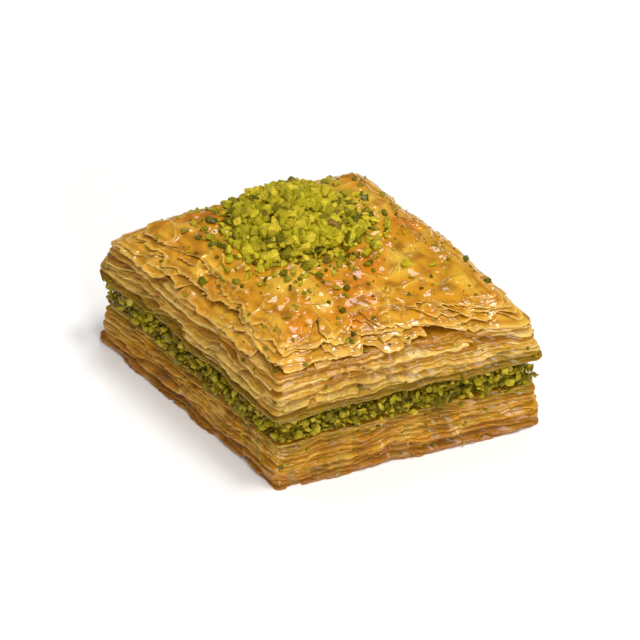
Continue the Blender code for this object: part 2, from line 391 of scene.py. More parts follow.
@dataclass
class Diamond:
    """The outline that the four cuts leave, with rounded tips, and the swell of the crust inside it.

    Attributes:
        long_diagonal: Tip to tip along X.
        short_diagonal: Tip to tip along Y.
        tip_radius: Radius of the four tips.
        edge_height: Height of the crust at the cuts.
        middle_height: Height of the crust in the middle.
        shoulder_reach: How far in from the cuts the crust takes to rise.
        tip_droop: How much lower the sharp tips hang.
        ridge_softening: How far the ridges between the four slopes are rounded.
        wrinkle: Height of the crust's broad wrinkles.
        wrinkle_spacing: From one wrinkle to the next.
        pressed: How ragged the cuts are at the pressed tips, as a share of elsewhere.
        tip_steps: How many steps each rounded tip is drawn in.
        ring: The outline's points, worked out.
    """

    long_diagonal: float = 70.0 * MM
    short_diagonal: float = 49.0 * MM
    tip_radius: float = 1.3 * MM
    edge_height: float = 21.8 * MM
    middle_height: float = 26.6 * MM
    shoulder_reach: float = 6.2 * MM
    tip_droop: float = 1.6 * MM
    ridge_softening: float = 2.5 * MM
    wrinkle: float = 0.35 * MM
    wrinkle_spacing: float = 4.5 * MM
    pressed: float = 0.55
    tip_steps: int = 8
    ring: list[Vector] = field(default_factory=list)

    def __post_init__(self) -> None:
        """Works out the outline once."""
        self.half_long = self.long_diagonal / 2
        self.half_short = self.short_diagonal / 2
        self.half_angle = math.atan2(self.half_short, self.half_long)
        self.apothem = self.half_long * math.sin(self.half_angle)
        blunt = math.pi / 2 - self.half_angle
        tips = [
            (Vector((self.half_long, 0)), self.half_angle, 0.0),
            (Vector((0, self.half_short)), blunt, math.pi / 2),
            (Vector((-self.half_long, 0)), self.half_angle, math.pi),
            (Vector((0, -self.half_short)), blunt, -math.pi / 2),
        ]
        steps = self.tip_steps
        for tip, half_angle, facing in tips:
            middle = tip * (1 - self.tip_radius / math.sin(half_angle) / tip.length)
            sweep = math.pi / 2 - half_angle
            for k in range(steps + 1):
                turn = facing + sweep * (2 * k / steps - 1)
                self.ring.append(middle + self.tip_radius * Vector((math.cos(turn), math.sin(turn))))
        start = steps // 2
        self.ring = self.ring[start:] + self.ring[: start + 1]
        self.reach = [0.0]
        for before, after in zip(self.ring, self.ring[1:]):
            self.reach.append(self.reach[-1] + (after - before).length)

    def at(self, turn: float) -> Vector:
        """A point on the outline.

        Args:
            turn: The share of the way round from the tip on +X, anticlockwise.

        Returns:
            The point in X and Y.
        """
        goal = (turn % 1.0) * self.reach[-1]
        low, high = 0, len(self.reach) - 1
        while high - low > 1:
            middle = (low + high) // 2
            if self.reach[middle] <= goal:
                low = middle
            else:
                high = middle
        span = self.reach[high] - self.reach[low]
        return self.ring[low].lerp(self.ring[high], (goal - self.reach[low]) / span)

    def inward(self, point: Vector, inset: float) -> Vector:
        """The outline's point moved in from the cut by inset."""
        return point * (1 - inset / self.apothem)

    def off_the_tips(self, x: float, y: float) -> float:
        """0 on the two diagonals and 1 away from them."""
        return min(1.0, 5 * min(abs(x) / self.half_long, abs(y) / self.half_short))

    def worn(self, x: float, y: float) -> float:
        """How ragged a cut is at a place: least at the pressed tips and 1 away from them."""
        return self.pressed + (1 - self.pressed) * self.off_the_tips(x, y)

    def from_cut(self, x: float, y: float) -> tuple[float, float]:
        """Where a point lies by its nearest cut.

        Args:
            x: The point's X.
            y: The point's Y.

        Returns:
            How far in from the cut it is, and how far along it from the cut's middle.
        """
        sine, cosine = math.sin(self.half_angle), math.cos(self.half_angle)
        depth = self.apothem - abs(x) * sine - abs(y) * cosine
        along = abs(x) * cosine - abs(y) * sine
        return depth, along

    def crust_height(self, x: float, y: float) -> float:
        """Height of the crust without its fine relief, as in the source of the solids."""
        across = math.hypot(x, self.ridge_softening) - self.ridge_softening
        along = math.hypot(y, self.ridge_softening) - self.ridge_softening
        inside = max(0.0, self.apothem * (1 - across / self.half_long - along / self.half_short))
        swell = 1 - math.exp(-inside / self.shoulder_reach)
        droop = self.tip_droop * (abs(x) / self.half_long) ** 4
        wrinkle = self.wrinkle * waver(x, y, 3.7, self.wrinkle_spacing) * swell
        return self.edge_height + (self.middle_height - self.edge_height) * swell - droop + wrinkle


@dataclass
class Chip:
    """A length of a sheet's edge that broke away.

    Attributes:
        turn: Its middle, as a share of the way round.
        width: Its width, as a share of the way round.
        depth: How far in the break goes.
    """

    turn: float
    width: float
    depth: float

    def bite(self, turn: float) -> float:
        """How far the edge is broken back at a place round the outline."""
        away = abs((turn - self.turn + 0.5) % 1.0 - 0.5)
        return self.depth * (1 - smooth_step(away, 0.35 * self.width, 0.5 * self.width))


@dataclass
class SheetStack:
    """A pile of phyllo sheets, closed above and below, whose ragged cut edges all show.

    Attributes:
        outline: The four cuts.
        floor: Height of the pile's underside.
        top: Height of the pile's upper edge at x and y.
        sheets: How many sheets show.
        taper: How far the top sheet's edge stands in from the bottom one's.
        curve: How the inset grows with height; 1 is a straight slope.
        groove: How deep the gaps between the sheets' edges are.
        uneven: How far the most recessed sheet stands in from the rest.
        ragged: How unevenly the edges are cut.
        chips: How many broken places each sheet has.
        chip_depth: The deepest break.
        seed: Start of the random draws.
        columns: How many steps the outline is drawn in.
    """

    outline: Diamond
    floor: float
    top: Height
    sheets: int
    taper: float
    curve: float
    groove: float
    uneven: float
    ragged: float
    chips: int
    chip_depth: float
    seed: int
    columns: int = 620

    def __post_init__(self) -> None:
        """Draws each sheet's thickness and its broken places."""
        draw = random.Random(self.seed)
        self.weights = [draw.uniform(0.45, 1.6) for _ in range(self.sheets)]
        self.broken = [
            [
                Chip(draw.random(), draw.uniform(0.006, 0.07), self.chip_depth * draw.uniform(0.2, 1.0))
                for _ in range(self.chips)
            ]
            for _ in range(self.sheets)
        ]
        self.bakes = [draw.uniform(-1, 1) for _ in range(self.sheets)]
        self.steps = [draw.uniform(0, 1) ** 2 * self.uneven for _ in range(self.sheets)]

    def levels(self, point: Vector) -> list[float]:
        """The shares of the height at which the sheets meet, at one point of the outline."""
        sums = [0.0]
        for k, weight in enumerate(self.weights):
            swell = 0.75 * waver(point.x, point.y, 0.37 * k + self.seed, 7.0 * MM)
            swell += 0.45 * waver(point.x, point.y, 0.9 * k + self.seed, 2.2 * MM)
            swell = math.exp(swell)
            sums.append(sums[-1] + weight * swell)
        return [s / sums[-1] for s in sums]

    def inset(self, sheet: int, turn: float, point: Vector) -> float:
        """How far in from the cut one sheet's edge stands at one place."""
        share = (sheet + 0.5) / self.sheets
        worn = self.outline.worn(point.x, point.y)
        coarse = waver(point.x, point.y, 0.6 * sheet + self.seed, 4.2 * MM)
        fine = waver(point.x, point.y, 1.7 * sheet + self.seed, 0.9 * MM)
        bites = max((chip.bite(turn) for chip in self.broken[sheet]), default=0.0)
        rough = self.ragged * (0.5 + coarse + 0.35 * fine) + self.steps[sheet]
        return max(0.02 * MM, self.taper * share**self.curve + (rough + bites) * worn)

    def column(self, turn: float) -> list[tuple[Vector, int, bool]]:
        """The profile at one place round the outline, from the bottom up.

        Args:
            turn: The share of the way round.

        Returns:
            Points with the number of their sheet, and whether each lies on the sheet's outer edge.
        """
        edge = self.outline.at(turn)
        insets = [self.inset(k, turn, edge) for k in range(self.sheets)]
        levels = self.levels(edge)
        profile = []
        for k in range(self.sheets):
            below = max(insets[k], insets[max(0, k - 1)]) + self.groove
            above = max(insets[k], insets[min(self.sheets - 1, k + 1)]) + self.groove
            gap = 0.16 * (levels[k + 1] - levels[k])
            for inset, share, outer in (
                (below, levels[k] + 0.5 * gap, False),
                (insets[k], levels[k] + gap, True),
                (insets[k], levels[k + 1] - gap, True),
                (above, levels[k + 1] - 0.5 * gap, False),
            ):
                spot = self.outline.inward(edge, inset)
                ceiling = self.top(spot.x, spot.y)
                level = self.floor + (ceiling - self.floor) * share
                profile.append((Vector((spot.x, spot.y, level)), k, outer))
        return profile

    def build(self, tint: Callable[[int, bool, Vector], Colour]) -> bmesh.types.BMesh:
        """Makes the closed mesh.

        Args:
            tint: Gives the colour of a sheet's edge or groove at a point.

        Returns:
            The new mesh, with its colours in the layer TINT.
        """
        rows = 4 * self.sheets + 1
        work = bmesh.new()
        layer = paint(work)
        bmesh.ops.create_grid(work, x_segments=self.columns, y_segments=rows, size=0.5)
        profiles = []
        for column in range(self.columns):
            profile = self.column(column / self.columns)
            low, high = profile[0][0], profile[-1][0]
            foot = (Vector((low.x, low.y, self.floor)), 0, False)
            head = (Vector((high.x * 0.7, high.y * 0.7, high.z - 0.5 * MM)), self.sheets - 1, False)
            profiles.append([foot, *profile, head])
        for vert in work.verts:
            column = round((vert.co.x + 0.5) * self.columns) % self.columns
            row = round((vert.co.y + 0.5) * rows)
            spot, sheet, outer = profiles[column][row]
            vert.co = spot
            vert[layer] = (*tint(sheet, outer, spot), 1.0)
        close_up(work)
        return work


@dataclass
class Phyllo:
    """The two stacks of sheets.

    Attributes:
        outline: The four cuts.
        lower_height: Height of the lower stack.
        upper_floor: Height of the upper stack's underside.
        crust_thickness: Room left below the crust's surface for the draped sheets.
    """

    outline: Diamond
    lower_height: float = 8.5 * MM
    upper_floor: float = 13.7 * MM
    crust_thickness: float = 2.5 * MM

    def build(self) -> list[bpy.types.Object]:
        """Makes both stacks.

        Returns:
            Their pieces.
        """
        lower = SheetStack(
            outline=self.outline,
            floor=0.0,
            top=lambda x, y: self.lower_height,
            sheets=17,
            taper=0.8 * MM,
            curve=1.0,
            groove=0.32 * MM,
            uneven=0.6 * MM,
            ragged=0.65 * MM,
            chips=12,
            chip_depth=0.8 * MM,
            seed=5,
        )
        work = lower.build(lambda sheet, outer, spot: self.lower_tint(lower, sheet, outer, spot))
        lower_piece = add_piece(work, "lower_sheets", SOAKED_SHEETS, smooth=True)
        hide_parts("lower_phyllo")
        upper = SheetStack(
            outline=self.outline,
            floor=self.upper_floor,
            top=lambda x, y: self.outline.crust_height(x, y) - self.crust_thickness,
            sheets=17,
            taper=1.3 * MM,
            curve=1.6,
            groove=0.45 * MM,
            uneven=0.9 * MM,
            ragged=0.6 * MM,
            chips=12,
            chip_depth=1.2 * MM,
            seed=9,
        )
        work = upper.build(lambda sheet, outer, spot: self.upper_tint(upper, sheet, outer, spot))
        upper_piece = add_piece(work, "upper_sheets", CUT_SHEETS, smooth=True)
        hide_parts("upper_phyllo")
        return [lower_piece, upper_piece]

    def lower_tint(self, stack: SheetStack, sheet: int, outer: bool, spot: Vector) -> Colour:
        """Colour of the soaked sheets: browned below, golden above, stained green under the filling."""
        share = sheet / stack.sheets
        colour = blend(Palette.CRISP_BASE.colour, Palette.AMBER.colour, smooth_step(share, 0.0, 0.35))
        pale = 0.5 + 0.5 * stack.bakes[sheet] + 0.9 * waver(spot.x, spot.y, sheet * 0.8, 3.0 * MM)
        colour = blend(colour, Palette.BUTTER.colour, 0.7 * pale * smooth_step(share, 0.05, 0.4))
        blotch = noise.noise(spot / (3.2 * MM))
        colour = blend(colour, Palette.HONEY.colour, 0.6 * smooth_step(blotch, 0.05, 0.45))
        colour = blend(colour, Palette.CREAM.colour, 0.35 * smooth_step(-blotch, 0.1, 0.5))
        runs = waver(spot.x, spot.y, 12.3 + spot.z / (9 * MM), 1.5 * MM)
        colour = blend(colour, Palette.SOAKED.colour, 0.5 * smooth_step(runs, 0.1, 0.55))
        green = smooth_step(share + 0.3 * waver(spot.x, spot.y, 3.3, 2.5 * MM), 0.5, 1.0)
        green = max(green, smooth_step(-runs, 0.3, 0.6))
        colour = blend(colour, Palette.GREEN_SYRUP.colour, 0.6 * green)
        # Grooves take SOAKED: the syrup between the sheets, with painted shade of the recess on top.
        return colour if outer else blend(colour, Palette.SOAKED.colour, 0.6)

    def upper_tint(self, stack: SheetStack, sheet: int, outer: bool, spot: Vector) -> Colour:
        """Colour of the crisp sheets: green syrup below, cream in the middle, amber towards the crust."""
        share = sheet / stack.sheets
        colour = blend(Palette.HONEY.colour, Palette.BUTTER.colour, smooth_step(share, 0.0, 0.3))
        pale = 0.45 + 0.8 * stack.bakes[sheet] + 0.8 * waver(spot.x, spot.y, sheet * 0.8, 4.0 * MM)
        colour = blend(colour, Palette.CREAM.colour, pale * smooth_step(share, 0.1, 0.4))
        colour = blend(colour, Palette.AMBER.colour, 0.7 * smooth_step(share - 0.2 * pale, 0.5, 0.9))
        colour = blend(colour, Palette.HONEY.colour, 0.9 * smooth_step(-stack.bakes[sheet], 0.35, 0.9))
        runs = waver(spot.x, spot.y, 12.3 + spot.z / (9 * MM), 1.7 * MM)
        colour = blend(colour, Palette.HONEY.colour, 0.4 * smooth_step(runs, 0.1, 0.55))
        green = 1 - smooth_step(share + 0.3 * waver(spot.x, spot.y, 7.3, 3.0 * MM), 0.02, 0.4)
        colour = blend(colour, Palette.GREEN_SYRUP.colour, 0.75 * green)
        # Grooves take HONEY: the syrup between the sheets, with painted shade of the recess on top.
        return colour if outer else blend(colour, Palette.HONEY.colour, 0.65)


@dataclass(frozen=True)
class CrustSheet:
    """One of the full sheets at the top of the pile.

    Attributes:
        name: The piece's name.
        depth: How far below the crust's surface it lies.
        inset: How far its edge stands in from the cuts.
        ragged: How unevenly the edge runs.
        chips: How many places of the edge broke away.
        segments: Steps of its grid along each side.
        hidden: The share of the way out up to which the sheets above hide it, where it isn't made.
        seed: Start of the random draws.
    """

    name: str
    depth: float
    inset: float
    ragged: float
    chips: int
    segments: int
    hidden: float
    seed: int


@dataclass
class Crust:
    """The glazed top sheets, with blisters, wrinkles and torn edges.

    Attributes:
        outline: The four cuts.
        heap: The heap's middle and its radii, for the green syrup round it.
        thickness: Thickness of a sheet.
        spacing: From one sheet to the next.
        blister_count: How many blisters the top sheet has.
        tear_reaches: How far in from the cuts the torn sheet edges run.
        seed: Start of the random draws.
    """

    outline: Diamond
    heap: "HeapShape"
    thickness: float = 0.17 * MM
    spacing: float = 0.42 * MM
    blister_count: int = 46
    tear_reaches: tuple[float, ...] = (1.9 * MM, 3.6 * MM, 6.2 * MM, 9.5 * MM)
    seed: int = 41

    def __post_init__(self) -> None:
        """Draws the blisters."""
        draw = random.Random(self.seed)
        self.blisters = []
        for _ in range(self.blister_count):
            reach, turn = math.sqrt(draw.random()) * 0.8, draw.uniform(0, math.tau)
            x = reach * self.outline.half_long * math.cos(turn)
            y = reach * self.outline.half_short * math.sin(turn)
            spot = Vector((x, y))
            self.blisters.append((spot, draw.uniform(0.6, 2.2) * MM, draw.uniform(0.1, 0.34) * MM))

    def tears(self, x: float, y: float) -> list[tuple[float, float]]:
        """Where a point lies by each torn sheet edge.

        Args:
            x: The point's X.
            y: The point's Y.

        Returns:
            For each tear, how far in from it the point is, and how strongly the tear shows there.
        """
        depth, along = self.outline.from_cut(x, y)
        quadrant = 3.1 * (x > 0) + 7.7 * (y > 0)
        found = []
        for k, reach in enumerate(self.tear_reaches):
            wander = 1.3 * MM * noise.noise(Vector((along / (6 * MM), k * 5.3, quadrant)))
            wander += 0.3 * MM * noise.noise(Vector((along / (1.2 * MM), k * 2.9, quadrant)))
            shows = smooth_step(noise.noise(Vector((along / (10 * MM), k * 9.1, quadrant + 2))), -0.15, 0.2)
            found.append((depth - reach - wander, shows * self.outline.off_the_tips(x, y)))
        return found

    def crease(self, x: float, y: float) -> float:
        """1 along the crust's long fine wrinkles and 0 between them."""
        warp = 1.3 * MM * waver(x, y, 11.3, 3.0 * MM)
        line = 1 - abs(waver(x + warp, y - warp, 13.7, 5.5 * MM)) / 0.11
        return smooth_step(line, 0.0, 1.0) * smooth_step(waver(x, y, 15.1, 9.0 * MM), -0.2, 0.15)

    def height(self, x: float, y: float) -> float:
        """Height of the crust's upper surface with all its relief."""
        depth, along = self.outline.from_cut(x, y)
        off = self.outline.off_the_tips(x, y)
        level = self.outline.crust_height(x, y)
        level += 0.13 * MM * waver(x, y, 8.1, 2.2 * MM) + 0.035 * MM * waver(x, y, 2.2, 0.8 * MM)
        level += 0.28 * MM * self.crease(x, y) + 0.3 * MM * waver(x, y, 17.9, 4.2 * MM)
        pleat = noise.noise(Vector((along / (1.3 * MM), depth / (7 * MM), 5.5 + (x > 0) + 2 * (y > 0))))
        level += 0.3 * MM * pleat * math.exp(-max(0.0, depth) / (4.5 * MM)) * off
        for inward, shows in self.tears(x, y):
            level += 0.17 * MM * shows * (smooth_step(inward, -0.08 * MM, 0.16 * MM) - 0.5)
        for spot, radius, rise in self.blisters:
            away = math.hypot(x - spot.x, y - spot.y) / radius
            if away < 1:
                level += rise * (1 - away * away) ** 0.7
        return level

    def tint(self, x: float, y: float) -> Colour:
        """Colour of the crust: amber with orange and pale patches, browned tears, green round the heap."""
        depth, along = self.outline.from_cut(x, y)
        colour = blend(
            Palette.AMBER.colour, Palette.ORANGE.colour, smooth_step(waver(x, y, 1.3, 8.0 * MM), -0.05, 0.35)
        )
        pale = smooth_step(waver(x, y, 6.4, 5.0 * MM), 0.05, 0.5)
        colour = blend(colour, Palette.PALE_GOLD.colour, 0.75 * pale)
        colour = blend(colour, Palette.HONEY.colour, 0.85 * smooth_step(waver(x, y, 4.9, 2.4 * MM), 0.1, 0.5))
        # Painted highlight: the crust is paler along the crests of its raised wrinkles.
        colour = blend(colour, Palette.PALE_GOLD.colour, 0.45 * self.crease(x, y))
        streak = noise.noise(Vector((along / (7 * MM), depth / (0.7 * MM), 1.5 + (x > 0) + 2 * (y > 0))))
        streak *= 1 - smooth_step(depth, 5 * MM, 11 * MM)
        colour = blend(colour, Palette.SCORCHED.colour, 0.55 * smooth_step(streak, 0.1, 0.6))
        for inward, shows in self.tears(x, y):
            line = math.exp(-((inward / (0.22 * MM)) ** 2))
            colour = blend(colour, Palette.SCORCHED.colour, 0.5 * shows * line)
            lip = math.exp(-(((inward - 0.55 * MM) / (0.35 * MM)) ** 2))
            colour = blend(colour, Palette.PALE_GOLD.colour, 0.5 * shows * lip)
        colour = blend(colour, Palette.BUTTER.colour, 0.5 * (1 - smooth_step(depth, 3.0 * MM, 6.0 * MM)))
        green = math.exp(-max(0.0, self.heap.share(x, y) - 0.9) * 3.2)
        green *= 0.7 + 0.5 * waver(x, y, 9.9, 2.0 * MM)
        green = max(green, 0.35 * smooth_step(waver(x, y, 21.7, 3.0 * MM), 0.1, 0.45))
        return blend(colour, Palette.GREEN_SYRUP.colour, 0.6 * green)

    def build(self) -> list[bpy.types.Object]:
        """Makes the top sheets.

        Returns:
            Their pieces, from the top down.
        """
        names = ("glazed_crust", "second_sheet", "third_sheet", "fourth_sheet", "fifth_sheet", "sixth_sheet")
        pieces = []
        for k, name in enumerate(names):
            sheet = CrustSheet(
                name=name,
                depth=k * self.spacing,
                inset=(4.4 - 0.62 * k) * MM,
                ragged=(1.6 - 0.16 * k) * MM,
                chips=14 + k,
                segments=176,
                hidden=0.0 if k == 0 else 0.62,
                seed=self.seed + 2 * k,
            )
            pieces.append(self.build_sheet(sheet))
        return pieces

    def build_sheet(self, sheet: CrustSheet) -> bpy.types.Object:
        """Makes one full sheet.

        Args:
            sheet: Its place and its edge.

        Returns:
            The new piece.
        """
        draw = random.Random(sheet.seed)
        chips = [
            Chip(draw.random(), draw.uniform(0.008, 0.07), draw.uniform(0.4, 2.6) * MM)
            for _ in range(sheet.chips)
        ]
        work = bmesh.new()
        layer = paint(work)
        under = []
        bmesh.ops.create_grid(work, x_segments=sheet.segments, y_segments=sheet.segments, size=1.0)
        for vert in work.verts:
            across, along = vert.co.x, vert.co.y
            ring = max(abs(across), abs(along))
            spot = Vector((0.0, 0.0))
            if ring > 0.5 / sheet.segments:
                turn = square_turn(across / ring, along / ring)
                edge = self.outline.at(turn)
                ragged = sheet.ragged * waver(edge.x, edge.y, sheet.seed, 3.4 * MM)
                ragged += 0.3 * sheet.ragged * waver(edge.x, edge.y, sheet.seed + 2.5, 0.7 * MM)
                ragged += max(chip.bite(turn) for chip in chips)
                ragged *= self.outline.worn(edge.x, edge.y)
                spot = self.outline.inward(edge, sheet.inset + ragged * ring**5) * ring
            level = self.height(spot.x, spot.y) - sheet.depth
            lift = 0.5 * waver(spot.x, spot.y, sheet.seed, 3.0 * MM) - 0.14
            level += lift * MM * smooth_step(ring, 0.96, 1.0)
            vert.co = Vector((spot.x, spot.y, level))
            colour = self.tint(spot.x, spot.y)
            # Painted shade: a darker honey band just inside each sheet's pale rim, as the shade at the foot
            # of a step.
            painted_step_shade = smooth_step(ring, 0.93, 0.955) * (1 - smooth_step(ring, 0.965, 0.98))
            colour = blend(colour, Palette.HONEY.colour, 0.6 * painted_step_shade)
            colour = blend(colour, Palette.CREAM.colour, 0.6 * smooth_step(ring, 0.982, 1.0))
            vert[layer] = (*colour, 1.0)
            if ring < sheet.hidden:
                under.append(vert)
        bmesh.ops.delete(work, geom=under, context="VERTS")
        bmesh.ops.recalc_face_normals(work, faces=work.faces)
        made = bmesh.ops.extrude_face_region(work, geom=work.faces[:])["geom"]
        lower_side = [item for item in made if isinstance(item, bmesh.types.BMVert)]
        bmesh.ops.translate(work, verts=lower_side, vec=(0.0, 0.0, -self.thickness))
        bmesh.ops.recalc_face_normals(work, faces=work.faces)
        piece = add_piece(work, sheet.name, GLAZED_CRUST, smooth=True)
        return piece


def square_turn(across: float, along: float) -> float:
    """Where a point on the edge of the square from -1 to 1 lies on the outline.

    The square's corners fall on the four tips, with the corner at +1, -1 on the tip on +X.

    Args:
        across: The point's first coordinate.
        along: The point's second coordinate.

    Returns:
        The share of the way round the outline.
    """
    if across >= 1 - 1e-6:
        return (along + 1) / 8
    if along >= 1 - 1e-6:
        return 0.25 + (1 - across) / 8
    if across <= -1 + 1e-6:
        return 0.5 + (1 - along) / 8
    return 0.75 + (across + 1) / 8


class Cut(Enum):
    """How a bit of nut was chopped: its breadth and thickness by its length, and its bend."""

    SLIVER = (0.4, 0.26, 0.35)
    CHUNK = (0.8, 0.62, 0.0)
    FLAKE = (0.75, 0.28, 0.2)


@dataclass
class NutBits:
    """Many chopped bits of nut in one mesh, each a copy of one of a few cut shapes.

    Attributes:
        seed: Start of the random draws.
        kinds: How many shapes are cut in each way.
    """

    seed: int
    kinds: int = 5

    def __post_init__(self) -> None:
        """Cuts the shapes."""
        self.draw = random.Random(self.seed)
        self.shapes = {cut: [self.cut_shape(cut) for _ in range(self.kinds)] for cut in Cut}
        self.work = bmesh.new()
        self.layer = paint(self.work)

    def cut_shape(self, cut: Cut) -> bpy.types.Mesh:
        """Chops one bit of unit length, with flat cut faces.

        Args:
            cut: How it is chopped.

        Returns:
            A mesh of a few dozen faces round the origin.
        """
        breadth, thickness, bend = cut.value
        work = bmesh.new()
        paint(work)
        bmesh.ops.create_icosphere(work, subdivisions=1, radius=0.5)
        for vert in work.verts:
            vert.co *= self.draw.uniform(0.85, 1.2)
        for _ in range(5):
            facing = Vector([self.draw.gauss(0, 1) for _ in range(3)]).normalized()
            bmesh.ops.bisect_plane(
                work,
                geom=work.verts[:] + work.edges[:] + work.faces[:],
                plane_co=facing * self.draw.uniform(0.2, 0.38),
                plane_no=facing,
                clear_outer=True,
            )
            bmesh.ops.holes_fill(work, edges=[e for e in work.edges if e.is_boundary], sides=0)
        bmesh.ops.scale(work, verts=work.verts, vec=(1.0, breadth, thickness))
        for vert in work.verts:
            vert.co.z -= bend * vert.co.x**2 * 2
        bmesh.ops.triangulate(work, faces=work.faces)
        bmesh.ops.recalc_face_normals(work, faces=work.faces)
        mesh = bpy.data.meshes.new("cut_nut")
        work.to_mesh(mesh)
        work.free()
        return mesh

    def add(self, cut: Cut, spot: Vector, length: float, tilt: float, colour: Colour) -> None:
        """Adds one bit.

        Args:
            cut: How it is chopped.
            spot: Its middle.
            length: Its length.
            tilt: How far it may lean from lying flat, in radians.
            colour: Its linear colour.
        """
        before = len(self.work.verts)
        self.work.from_mesh(self.draw.choice(self.shapes[cut]))
        self.work.verts.ensure_lookup_table()
        placing = (
            Matrix.Translation(spot)
            @ Matrix.Rotation(self.draw.uniform(0, math.tau), 4, "Z")
            @ Matrix.Rotation(self.draw.uniform(-tilt, tilt), 4, "X")
            @ Matrix.Rotation(self.draw.uniform(-tilt, tilt), 4, "Y")
            @ Matrix.Diagonal((length, length, length, 1.0))
        )
        for vert in self.work.verts[before:]:
            vert.co = placing @ vert.co
            worn = self.draw.uniform(0.72, 1.18)
            vert[self.layer] = (*(worn * channel for channel in colour), 1.0)

    def nut_colour(self, dark: float) -> Colour:
        """A random colour of pistachio.

        Args:
            dark: The share of dark and soaked bits.

        Returns:
            A linear colour.
        """
        pick = self.draw.random()
        if pick < dark:
            pair = (Palette.OLIVE.colour, Palette.MOSS.colour)
        elif pick > 0.985:
            pair = (Palette.SKIN.colour, Palette.MOSS.colour)
        elif pick > 0.8:
            pair = (Palette.YELLOW.colour, Palette.LIME.colour)
        else:
            pair = (Palette.LEAF.colour, Palette.LIME.colour)
        return blend(*pair, self.draw.random())

    def finish(self, name: str, finish: Finish) -> bpy.types.Object:
        """Turns all bits added so far into one piece."""
        return add_piece(self.work, name, finish, smooth=False)


@dataclass
class HeapShape:
    """Where the heap of ground pistachio lies, and how high it is.

    Attributes:
        middle: Its middle in X and Y.
        radii: Its reach along X and Y.
        rise: Its height above the crust.
    """

    middle: Vector = field(default_factory=lambda: Vector((-5.6 * MM, 5.0 * MM)))
    radii: tuple[float, float] = (9.2 * MM, 8.0 * MM)
    rise: float = 4.4 * MM

    def share(self, x: float, y: float) -> float:
        """0 at the heap's middle and 1 at its rim."""
        return math.hypot((x - self.middle.x) / self.radii[0], (y - self.middle.y) / self.radii[1])

    def height(self, x: float, y: float) -> float:
        """How far the heap's core stands above the crust."""
        share = min(1.0, self.share(x, y))
        return self.rise * (1 - share**2) ** 0.8


class Ground:
    """The surfaces of finished pieces, for crumbs to land on and stick to."""

    def __init__(self, pieces: list[bpy.types.Object]) -> None:
        """Gathers the pieces' faces.

        Args:
            pieces: Finished pieces.
        """
        work = bmesh.new()
        for piece in pieces:
            work.from_mesh(piece.data)
        self.tree = BVHTree.FromBMesh(work)
        work.free()

    def below(self, x: float, y: float) -> Vector | None:
        """The highest point of the pieces at x and y."""
        return self.tree.ray_cast(Vector((x, y, DROP_HEIGHT)), Vector((0, 0, -1)))[0]

    def beside(self, edge: Vector, level: float) -> Vector | None:
        """The point that the pieces show at a height, seen from outside towards the middle.

        Args:
            edge: The point of the outline that it is seen from.
            level: The height.

        Returns:
            The point, or None where nothing is met.
        """
        start = Vector((edge.x * 1.15, edge.y * 1.15, level))
        return self.tree.ray_cast(start, Vector((-edge.x, -edge.y, 0.0)).normalized(), 9 * MM)[0]


